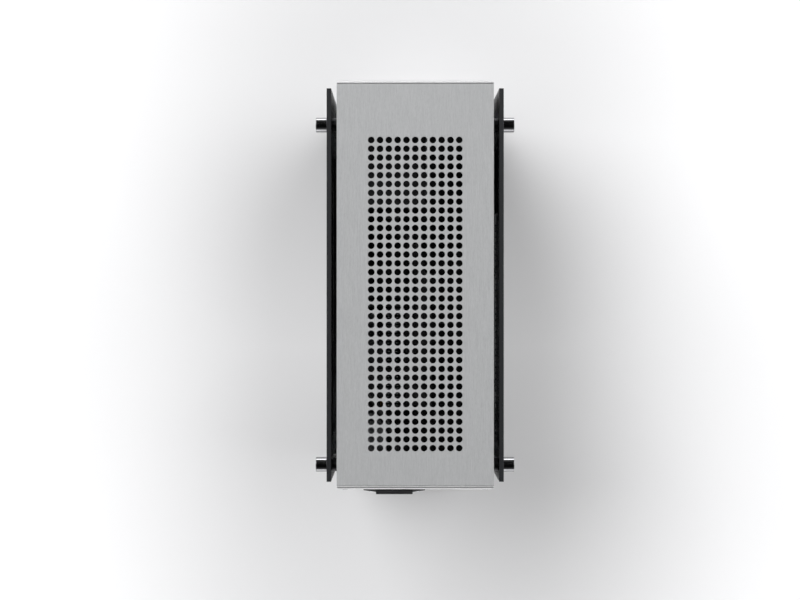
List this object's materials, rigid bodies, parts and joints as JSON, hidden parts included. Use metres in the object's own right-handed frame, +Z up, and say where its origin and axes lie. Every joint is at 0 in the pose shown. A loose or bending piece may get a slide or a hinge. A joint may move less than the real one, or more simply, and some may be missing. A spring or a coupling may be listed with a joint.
{
  "type": "desktop computer tower",
  "caption": "Slim desktop computer tower with a perforated brushed metal top and two dark glass sides held by thumbscrews on standoffs, with its boards, fans and power supply inside.",
  "frame": {"origin": "on the floor, at the centre of the whole object's outline", "axes": "+Z up, -Y the front, +Y the rear with the sockets, +X the side the motherboard stands on"},
  "size_m": [0.174, 0.3594, 0.281],
  "materials": {
    "brushed_panel": "brushed, fine straight grain, satin",
    "black_steel": "black powder coat, fine texture",
    "tinted_glass": "dark tinted, polished, ground edges",
    "polished_screw": "black chrome, polished",
    "bright_steel": "plain machined or rolled steel",
    "foot_rubber": "matt moulded",
    "black_plastic": "fine moulded texture",
    "fan_plastic": "smooth moulded",
    "circuit_board": "black solder mask on glass fibre board",
    "fin_aluminium": "plain rolled",
    "cable_sleeve": "woven black sleeve"
  },
  "bodies": {
    "case": {"bottom_panel": "black_steel", "cpu_fan_frame": "black_plastic", "cpu_heatsink": "fin_aluminium", "foot_front_left": "foot_rubber", "foot_front_right": "foot_rubber", "foot_rear_left": "foot_rubber", "foot_rear_right": "foot_rubber", "front_panel": "brushed_panel", "front_ports": "black_plastic", "graphics_board": "circuit_board", "graphics_bracket": "bright_steel", "graphics_cooler": "black_plastic", "graphics_power_cable": "cable_sleeve", "io_shield": "bright_steel", "main_power_cable": "cable_sleeve", "mains_inlet": "black_plastic", "mains_lead": "cable_sleeve", "memory_module_1": "black_plastic", "memory_module_2": "black_plastic", "motherboard": "circuit_board", "motherboard_tray": "black_steel", "post_front_left": "black_steel", "post_front_right": "black_steel", "post_rear_left": "black_steel", "post_rear_right": "black_steel", "power_supply_case": "black_steel", "power_supply_fan_guard": "bright_steel", "power_supply_shelf": "black_steel", "power_switch": "black_plastic", "rail_bottom_left": "black_steel", "rail_bottom_right": "black_steel", "rail_top_left": "black_steel", "rail_top_right": "black_steel", "rear_panel": "brushed_panel", "rear_ports": "black_plastic", "solid_state_drive": "fin_aluminium", "standoff_front_lower_left": "bright_steel", "standoff_front_lower_right": "bright_steel", "standoff_front_upper_left": "bright_steel", "standoff_front_upper_right": "bright_steel", "standoff_rear_lower_left": "bright_steel", "standoff_rear_lower_right": "bright_steel", "standoff_rear_upper_left": "bright_steel", "standoff_rear_upper_right": "bright_steel", "top_panel": "brushed_panel"},
    "glass_left": {"glass_left": "tinted_glass"},
    "glass_right": {"glass_right": "tinted_glass"},
    "cpu_fan": {"cpu_fan_rotor": "fan_plastic"},
    "power_supply_fan": {"power_supply_fan_rotor": "fan_plastic"},
    "graphics_fan_front": {"graphics_fan_rotor_front": "fan_plastic"},
    "graphics_fan_rear": {"graphics_fan_rotor_rear": "fan_plastic"},
    "power_button": {"power_button": "bright_steel"},
    "thumbscrew_front_lower_left": {"thumbscrew_front_lower_left": "polished_screw"},
    "thumbscrew_front_upper_left": {"thumbscrew_front_upper_left": "polished_screw"},
    "thumbscrew_rear_lower_left": {"thumbscrew_rear_lower_left": "polished_screw"},
    "thumbscrew_rear_upper_left": {"thumbscrew_rear_upper_left": "polished_screw"},
    "thumbscrew_front_lower_right": {"thumbscrew_front_lower_right": "polished_screw"},
    "thumbscrew_front_upper_right": {"thumbscrew_front_upper_right": "polished_screw"},
    "thumbscrew_rear_lower_right": {"thumbscrew_rear_lower_right": "polished_screw"},
    "thumbscrew_rear_upper_right": {"thumbscrew_rear_upper_right": "polished_screw"}
  },
  "joints": [
    {"name": "glass_left_off", "type": "slide", "parent": "case", "child": "glass_left", "axis": [-1, 0, 0], "range_m": [0, 0.06]},
    {"name": "glass_right_off", "type": "slide", "parent": "case", "child": "glass_right", "axis": [1, 0, 0], "range_m": [0, 0.06]},
    {"name": "thumbscrew_front_lower_left_turn", "type": "hinge", "parent": "glass_left", "child": "thumbscrew_front_lower_left", "pos_m": [-0.082, -0.1434, 0.032], "axis": [-1, 0, 0], "continuous": true},
    {"name": "thumbscrew_front_upper_left_turn", "type": "hinge", "parent": "glass_left", "child": "thumbscrew_front_upper_left", "pos_m": [-0.082, -0.1434, 0.26], "axis": [-1, 0, 0], "continuous": true},
    {"name": "thumbscrew_rear_lower_left_turn", "type": "hinge", "parent": "glass_left", "child": "thumbscrew_rear_lower_left", "pos_m": [-0.082, 0.1547, 0.032], "axis": [-1, 0, 0], "continuous": true},
    {"name": "thumbscrew_rear_upper_left_turn", "type": "hinge", "parent": "glass_left", "child": "thumbscrew_rear_upper_left", "pos_m": [-0.082, 0.1547, 0.26], "axis": [-1, 0, 0], "continuous": true},
    {"name": "thumbscrew_front_lower_right_turn", "type": "hinge", "parent": "glass_right", "child": "thumbscrew_front_lower_right", "pos_m": [0.082, -0.1434, 0.032], "axis": [1, 0, 0], "continuous": true},
    {"name": "thumbscrew_front_upper_right_turn", "type": "hinge", "parent": "glass_right", "child": "thumbscrew_front_upper_right", "pos_m": [0.082, -0.1434, 0.26], "axis": [1, 0, 0], "continuous": true},
    {"name": "thumbscrew_rear_lower_right_turn", "type": "hinge", "parent": "glass_right", "child": "thumbscrew_rear_lower_right", "pos_m": [0.082, 0.1547, 0.032], "axis": [1, 0, 0], "continuous": true},
    {"name": "thumbscrew_rear_upper_right_turn", "type": "hinge", "parent": "glass_right", "child": "thumbscrew_rear_upper_right", "pos_m": [0.082, 0.1547, 0.26], "axis": [1, 0, 0], "continuous": true},
    {"name": "cpu_fan_spin", "type": "hinge", "parent": "case", "child": "cpu_fan", "pos_m": [-0.004, 0.0643, 0.15], "axis": [-1, 0, 0], "continuous": true},
    {"name": "power_supply_fan_spin", "type": "hinge", "parent": "case", "child": "power_supply_fan", "pos_m": [-0.003, -0.1227, 0.1465], "axis": [-1, 0, 0], "continuous": true},
    {"name": "graphics_fan_front_spin", "type": "hinge", "parent": "case", "child": "graphics_fan_front", "pos_m": [-0.017, -0.0187, 0.033], "axis": [0, 0, -1], "continuous": true},
    {"name": "graphics_fan_rear_spin", "type": "hinge", "parent": "case", "child": "graphics_fan_rear", "pos_m": [-0.017, 0.0953, 0.033], "axis": [0, 0, -1], "continuous": true},
    {"name": "power_button_press", "type": "slide", "parent": "case", "child": "power_button", "axis": [0, 1, 0], "range_m": [0, 0.0015], "stiffness_N_per_m": 800, "springref_m": -0.001}
  ]
}
